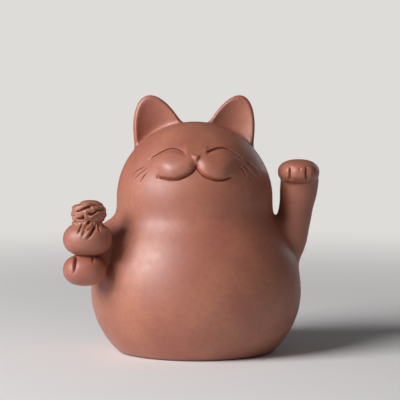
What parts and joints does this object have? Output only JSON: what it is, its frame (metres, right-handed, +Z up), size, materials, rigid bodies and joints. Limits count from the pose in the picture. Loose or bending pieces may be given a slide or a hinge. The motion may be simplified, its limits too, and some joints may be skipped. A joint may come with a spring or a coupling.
{
  "type": "tea pet",
  "caption": "Chubby laughing cat in unglazed red-brown clay, one paw raised and the other holding a tied purse; stands on a flat foot.",
  "frame": {"origin": "middle of the flat foot, on the surface that the cat stands on", "axes": "+Z up; the cat looks along -Y; +X is the cat's own left, the side of the raised arm"},
  "size_m": [0.0782, 0.0655, 0.0799],
  "materials": {
    "burnished_clay": "unglazed stoneware, burnished before firing to a soft satin",
    "purse_clay": "unglazed stoneware, modelled and left a little drier",
    "bare_foot_clay": "unglazed stoneware, scraped flat, matte"
  },
  "bodies": {
    "root": {"base_disc": "bare_foot_clay", "belly_shell": "burnished_clay", "head_shell": "burnished_clay", "ear_left": "burnished_clay", "ear_right": "burnished_clay", "muzzle_pad_left": "burnished_clay", "muzzle_pad_right": "burnished_clay", "nose_button": "burnished_clay", "raised_arm": "burnished_clay", "raised_paw": "burnished_clay", "holding_arm": "burnished_clay", "holding_paw": "burnished_clay", "pouch_ball": "purse_clay", "pouch_tie": "purse_clay", "pouch_ruffle": "purse_clay", "tail": "burnished_clay"}
  },
  "joints": []
}
